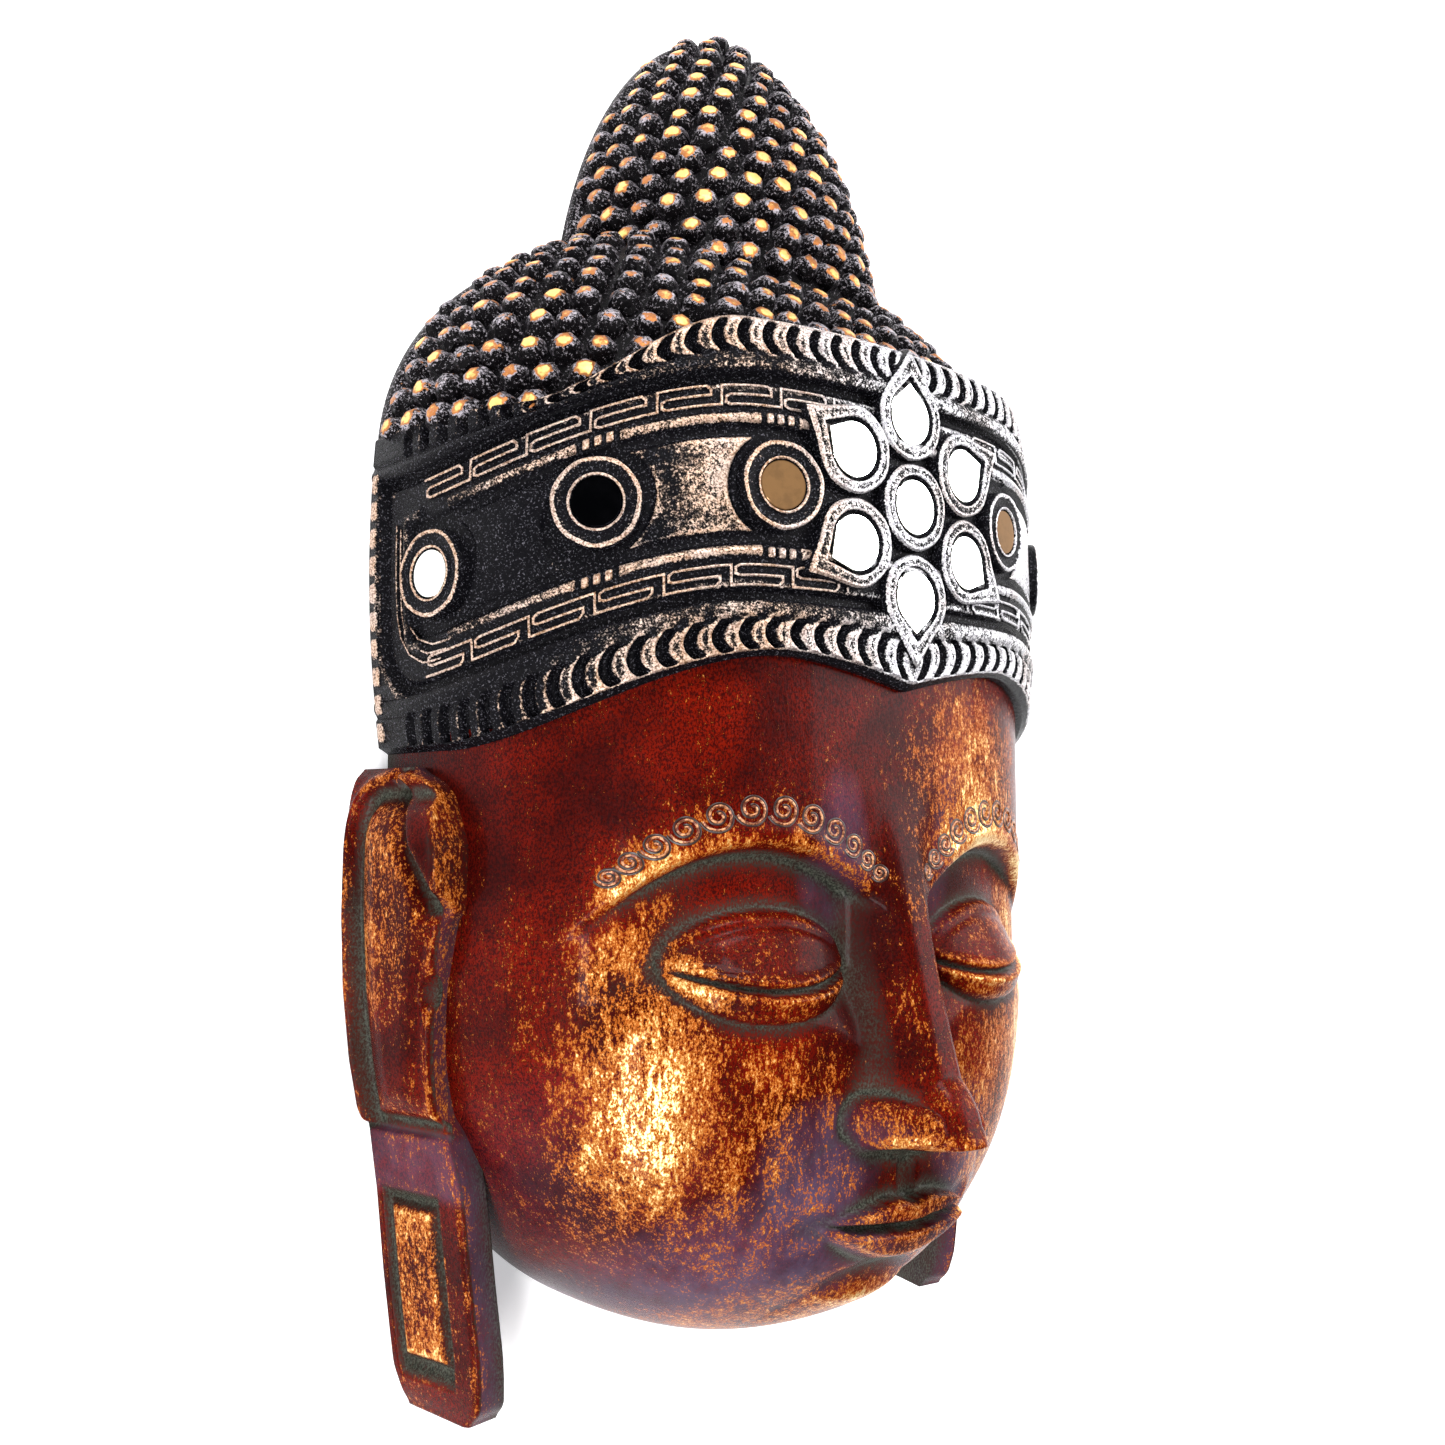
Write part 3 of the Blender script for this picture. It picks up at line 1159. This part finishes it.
def ear_relief(a, y, width):
    """Carving over the ear's plate; a is the distance from its back edge."""
    b = width - a
    shell = smooth(SHELL_FOOT - 0.05, SHELL_FOOT + 0.10, y)
    below_top = (-4.45 - y) * 0.8
    inward = np.minimum(a, below_top)
    rounded = 1.6 - np.hypot(np.maximum(1.6 - a, 0), np.maximum(1.6 - below_top, 0))
    inward = np.where((a < 1.6) & (below_top < 1.6), rounded, inward)
    inward = np.minimum(inward, (y - SHELL_FOOT + 0.15) * 1.3)
    rim = 0.16 * ridge(inward - 0.10, 0.16)
    groove = -0.42 * ridge(inward - 0.56, 0.30)
    body = 0.34 * smooth(0.75, 1.9, inward) * smooth(-0.3, 1.1, b)
    edge = leaf_edge(y)
    leaf_cut = -0.42 * ridge(a - edge + 0.42, 0.34) * beside_leaf(y)
    leaf = 0.30 * smooth(-0.10, 0.16, a - edge) * beside_leaf(y)
    notch = -0.30 * bump(a, y, width + 0.05, -11.3, 0.50, 0.65)
    at_notch = smooth(-10.6, -10.9, y) * fade(-11.7, -12.0, y)
    front_edge = 0.10 * ridge(b - 0.12, 0.14) * smooth(-9.4, -10.0, y) * (1 - at_notch)
    shell_out = 0.10 + rim + groove + body + leaf_cut + leaf + notch + front_edge
    end_cut = -0.24 * ridge(y - SHELL_FOOT, 0.12)

    up_and_down = np.minimum(PANEL_TOP - y, y - PANEL_FOOT) * 0.7
    inner = np.minimum(np.minimum(a - 0.20, b - 0.95), up_and_down)
    past_ends = np.maximum(y - PILLAR_TOP, PILLAR_FOOT - y)
    pillar = fade(-0.05, 0.34, np.maximum(np.abs(a - 1.50) - 0.80, past_ends))
    sunk = -0.40 * smooth(0.0, 0.38, inner) + 0.36 * pillar
    return shell * shell_out + (1 - shell) * sunk + end_cut, shell, inner, pillar


def make_ear(name, side):
    y = np.linspace(EAR_TOP, EAR_FOOT, 300)[:, None]
    back, front, reach = (ear_profile(v, y) for v in (EAR_BACK, EAR_FRONT, EAR_REACH))
    width = np.hypot(reach, back - front)
    out_x, out_z = reach / width, (back - front) / width
    share = np.linspace(0, 1, 100)[None, :]
    a = share * width
    lift, shell, inner, pillar = ear_relief(a, y, width)
    rounding = 0.16 * (1 - beside_leaf(y) * smooth(-4.4, -5.0, y))
    from_corner = np.minimum(width - a, 0.3) / 0.3
    lift = lift - rounding * (1 - np.sqrt(np.clip(1 - (1 - from_corner) ** 2, 0, 1)))
    lift = lift * smooth(0.0, 0.35, EAR_TOP - y + 0.02)
    x = back + (front - back) * share + out_x * lift
    z = reach * share + out_z * lift
    thick = 1.0 + 0.8 * smooth(-17.2, -15.8, y)
    deep = np.linspace(0.04, 1, 20)[None, :] * thick
    leaf_on_wall = 0.26 * smooth(-0.10, 0.16, width + deep - leaf_edge(y)) * beside_leaf(y)
    leaf_on_wall = leaf_on_wall * smooth(-4.4, -5.0, y) * smooth(0.0, 0.4, thick - deep)
    wall_x = front + out_x * (lift[:, -1:] - deep)
    wall_z = reach + out_z * (lift[:, -1:] - deep) + leaf_on_wall
    inner_x = back - out_x * thick
    rows_x = np.hstack([x, wall_x, inner_x, back])
    rows_z = np.maximum(np.hstack([z, wall_z, 0 * inner_x, 0 * back]), LOWEST)
    points = places(side * rows_x, y, rows_z)
    middle = points[-1:].mean(axis=1, keepdims=True)
    points = np.concatenate([points, middle + (points[-1:] - middle) * 0.1])
    stands_out = lift - soften(lift, 5)
    in_leaf = smooth(-0.1, 0.2, a - leaf_edge(y)) * beside_leaf(y)
    gold = -0.10 + np.clip(stands_out * 1.4, -0.3, 0.22) + 0.27 * pillar
    gold = gold + 0.24 * shell * bump(a, y, 1.9, -8.4, 2.0, 4.2, 0.6) - 0.12 * in_leaf
    gold = gold + 0.10 * ridge(width - a - 0.1, 0.14)
    recess = np.clip(-stands_out * 6.0 - 0.05, 0, 1)
    recess = np.maximum(recess, (1 - shell) * smooth(0.02, 0.22, inner) * (1 - pillar))
    in_fold = shell * ridge(np.minimum(a, 3.0) - 0.55, 0.36) * smooth(-7.0, -9.5, y)
    recess = np.maximum(recess, in_fold)
    plum = 0.45 * (1 - shell) * smooth(-18.1, -17.6, y) + 0 * a
    # the marks go on over the front wall and the back, which darken from the front
    behind = np.linspace(0, 1, rows_x.shape[1] - x.shape[1])[None, :]
    on_leaf = np.hstack([leaf_on_wall, leaf_on_wall[:, -2:]]) / 0.26
    gold = np.hstack([gold, 0.05 - 0.28 * behind + 0.10 * on_leaf + 0.04 * smooth(-15.9, -15.7, y)])
    recess = np.hstack([recess, 0.1 + 0.85 * behind**1.5 * (1 - on_leaf)])
    plum = np.hstack([plum, 0.30 * (1 - on_leaf) + 0.3 * smooth(-15.7, -16.2, y)])
    marks = {"gold": gold, "recess": recess, "plum": plum}
    marks = {word: np.vstack([field, field[-1:]]) for word, field in marks.items()}
    carved_sheet(name, points, marks, LACQUER, turned=side > 0)


make_ear("ear_left", -1)
make_ear("ear_right", 1)

# %% [markdown]
# ## The back
# Nobody sees the back of a wall mask, but it is there: sawn flat, hollowed with a round gouge to keep
# the mask light, and notched at the top for the nail. It is a flat ring between the mask's outline and
# the mouth of the hollow, and the hollow's own surface.

# %% Back and hollow
HOLLOW_FOOT, HOLLOW_TOP = CHIN_Y + 2.4, TOP_Y - 4.8
ARCH = 3.5  # over this length the hollow closes at its two ends
BAND_LOW, BAND_HIGH, BAND_BACK_HALF = -3.7, 6.8, 13.25  # where the band meets the flat back


def outline_half_width(y):
    """Half the width of the mask's flat back: the face, the band, the cap and the knot in turn."""
    half = np.where(y < 0.2, face_half_width(y) - 0.1, 0)
    at_band = (y > BAND_LOW) & (y < BAND_HIGH)
    half = np.maximum(half, np.where(at_band, BAND_BACK_HALF * band_taper(y), 0))
    half = np.maximum(half, np.where((y > 5) & (y < 15.9), cap_half_width(y) + 0.2, 0))
    return np.maximum(half, np.where((y > 9) & (y < 24.9), knot_half_width(y) + 0.2, 0))


def hollow_size(y):
    """Half width and depth of the hollow, which stays inside the head's forms and closes in arches."""
    in_face = y < 5.5
    low = np.minimum(y, 5.5)
    half = np.where(in_face, face_half_width(low), np.maximum(cap_half_width(y), knot_half_width(y)))
    depth = np.where(in_face, face_depth(low), np.maximum(cap_depth(y), knot_depth(y)))
    end = np.clip(np.minimum(y - HOLLOW_FOOT, HOLLOW_TOP - y) / ARCH, 0, 1)
    closing = 0.45 + 0.55 * np.sqrt(1 - (1 - end) ** 2)
    return (half - 1.5) * closing, np.minimum(8.5, depth - 2.4) * closing


def make_back():
    ends = ARCH * np.array([0, 0.12, 0.4, 1])
    middle_rows = np.linspace(HOLLOW_FOOT, HOLLOW_TOP, 12)[2:-2]
    y = np.concatenate([HOLLOW_FOOT + ends, middle_rows, (HOLLOW_TOP - ends)[::-1]])
    half, depth = hollow_size(y)
    angle = np.linspace(-pi / 2, pi / 2, 15)[None, :]
    radius = oval(angle, half[:, None], depth[:, None])
    hollow = places(radius * np.sin(angle), y[:, None],
                    radius * np.cos(angle) * (np.abs(angle) < 1.57))
    hollow = np.concatenate([hollow[:1] * (0, 1, 0), hollow, hollow[-1:] * (0, 1, 0)])
    grids = [(hollow, 0.0)]
    steps = [HOLLOW_FOOT - 1e-4, HOLLOW_TOP + 1e-4, BAND_LOW - 1e-3, BAND_LOW + 1e-3,
             BAND_HIGH - 1e-3, BAND_HIGH + 1e-3]
    edge_y = np.sort(np.concatenate([np.linspace(CHIN_Y + 0.1, TOP_Y - 0.2, 260), steps]))
    within = (edge_y >= HOLLOW_FOOT) & (edge_y <= HOLLOW_TOP)
    inner = np.where(within, hollow_size(np.clip(edge_y, HOLLOW_FOOT, HOLLOW_TOP))[0], 0)
    outer = outline_half_width(edge_y)
    for side in (-1, 1):
        step = np.linspace(0, 1, 5)[None, :]
        x = side * (inner[:, None] + (outer - inner)[:, None] * step)
        flat = places(x, edge_y[:, None], 0.0)
        wall = flat[:, -1:] + (0, 0, 0.5)
        sheet = np.concatenate([flat, wall], axis=1)
        grids.append((sheet if side > 0 else sheet[:, ::-1], 0.0))
    gathered("hollow_back", grids, BACK)


make_back()
for piece in bpy.data.objects:
    made_here = piece.type == "MESH" and piece.get("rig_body") and "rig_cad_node" not in piece
    if made_here and not piece.name.endswith("_glass"):
        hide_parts("mask")

# %% [markdown]
# ## Floor, light and camera
# A plain pale floor, a room that is white low down and dark above, and three soft boxes: a tall narrow
# one on the left that draws the long gleam down the cheek, a broad one on the right that whitens the
# band and its mirrors, and one beyond the knot that lights the tips of the hair. The floor glows
# faintly, as white paper all round the real mask throws light back on it.

# %% Stage
def make_floor():
    bpy.ops.mesh.primitive_plane_add(size=30, location=(0, 0, -0.0005))
    floor = bpy.context.object
    floor.name = "pale_floor"
    brush = Brush("pale_floor")
    floor.data.materials.append(brush.finish(
        Base_Color=(0.90, 0.90, 0.90), Roughness=0.9, Specular_IOR_Level=0.1,
        Emission_Color=(0.95, 0.96, 1), Emission_Strength=0.50))


def standing(place, right, above, back):
    """The matrix of an object at a place, turned to these three directions."""
    return Matrix.Translation(place) @ Matrix((right, above, back)).transposed().to_4x4()


def soft_light(name, place, size, power, long_way=(0, 0, 1)):
    """A soft box that looks at the mask's middle, its long side turned along long_way."""
    data = bpy.data.lights.new(name, "AREA")
    data.shape = "RECTANGLE"
    data.size, data.size_y = size
    data.energy = power
    away = (Vector(place) - Vector((0, 0, 0.06))).normalized()
    across = Vector(long_way).cross(away).normalized()
    linked(name, data).matrix_world = standing(place, across, away.cross(across), away)


def make_room():
    """White paper low down all round, and a dark warm room above, as the mirrors show it."""
    brush = Brush("room_with_white_paper", "worlds", "Background", "Generated")
    height = brush.node("SeparateXYZ", {"Vector": brush.place}, output="Z")
    colour = brush.blend(brush.ramp(height, 0.0, 0.36), (0.80, 0.81, 0.84), (0.10, 0.085, 0.075))
    bpy.context.scene.world = brush.finish(Color=colour)


def make_light():
    make_room()
    soft_light("tall_left", (-0.70, -0.51, 0.66), (0.14, 0.98), 13, (0.15, -0.79, -0.39))
    soft_light("broad_right", (0.756, 0.27, 0.81), (0.60, 0.95), 17, (0.66, 0, -0.72))
    soft_light("above_the_knot", (-0.30, 1.00, 0.85), (0.50, 0.40), 17)


SENSOR = 36
FOCAL, FRAME = 1400, 1445  # in pixels of the photograph


def make_camera():
    """The photograph's view: from the mask's left front, slightly below its middle."""
    data = bpy.data.cameras.new("camera")
    data.sensor_width = SENSOR
    data.lens = SENSOR * FOCAL / FRAME
    data.clip_start = 0.01
    turn, rise = np.radians(40.0), np.radians(4.4)
    ahead = Vector((sin(turn) * cos(rise), sin(rise), -cos(turn) * cos(rise)))
    right = Vector((cos(turn), 0, sin(turn)))
    camera = linked("camera", data)
    camera.matrix_world = standing((-0.342, -0.063, 0.429), right, right.cross(ahead), -ahead)
    bpy.context.scene.camera = camera


make_floor()
make_light()
make_camera()
bpy.context.scene.view_settings.view_transform = "Standard"
